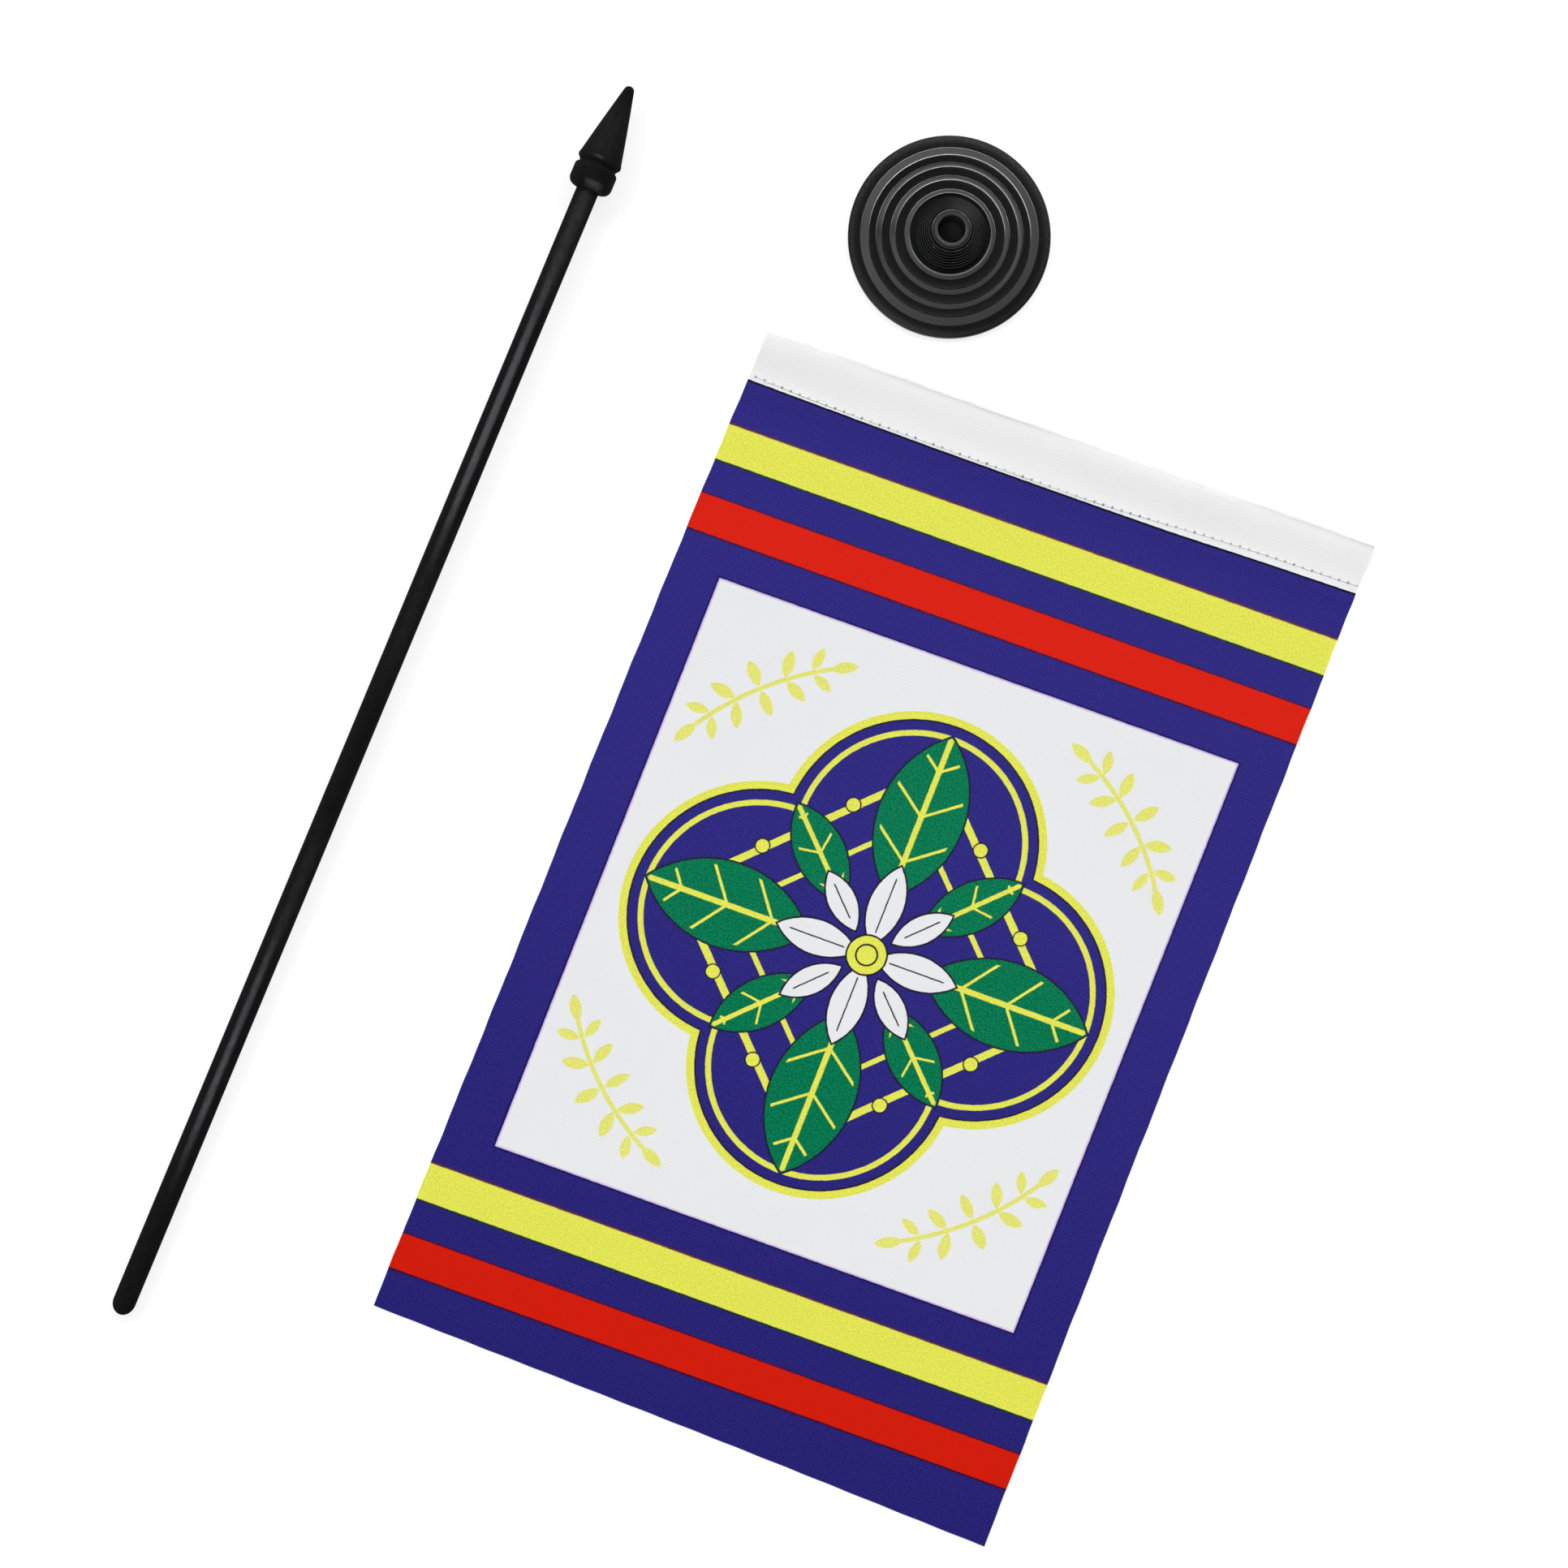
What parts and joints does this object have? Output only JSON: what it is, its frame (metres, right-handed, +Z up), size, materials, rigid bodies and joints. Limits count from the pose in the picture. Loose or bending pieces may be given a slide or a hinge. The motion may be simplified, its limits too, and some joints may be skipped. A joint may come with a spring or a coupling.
{
  "type": "table flag laid out with its pole and base",
  "caption": "Small printed cloth flag lying flat, its hoist end sewn into a sleeve, beside a thin pole with a spear finial and a round stepped base with a pole socket.",
  "frame": {"origin": "middle of the laid-out parts' box, on the surface they lie on", "axes": "+Y along the flag from its cut end to its sleeve, +X across the flag with the pole on the -X side, +Z up from the surface"},
  "size_m": [0.1946, 0.3036, 0.0125],
  "materials": {
    "printed_cloth": "thin woven polyester, printed violet with yellow and red stripes, dull sheen",
    "black_plastic": "satin moulded black"
  },
  "bodies": {
    "root": {"flag_cloth": "printed_cloth", "pole_shaft": "black_plastic", "spear_finial": "black_plastic", "stand_base": "black_plastic"}
  },
  "joints": []
}
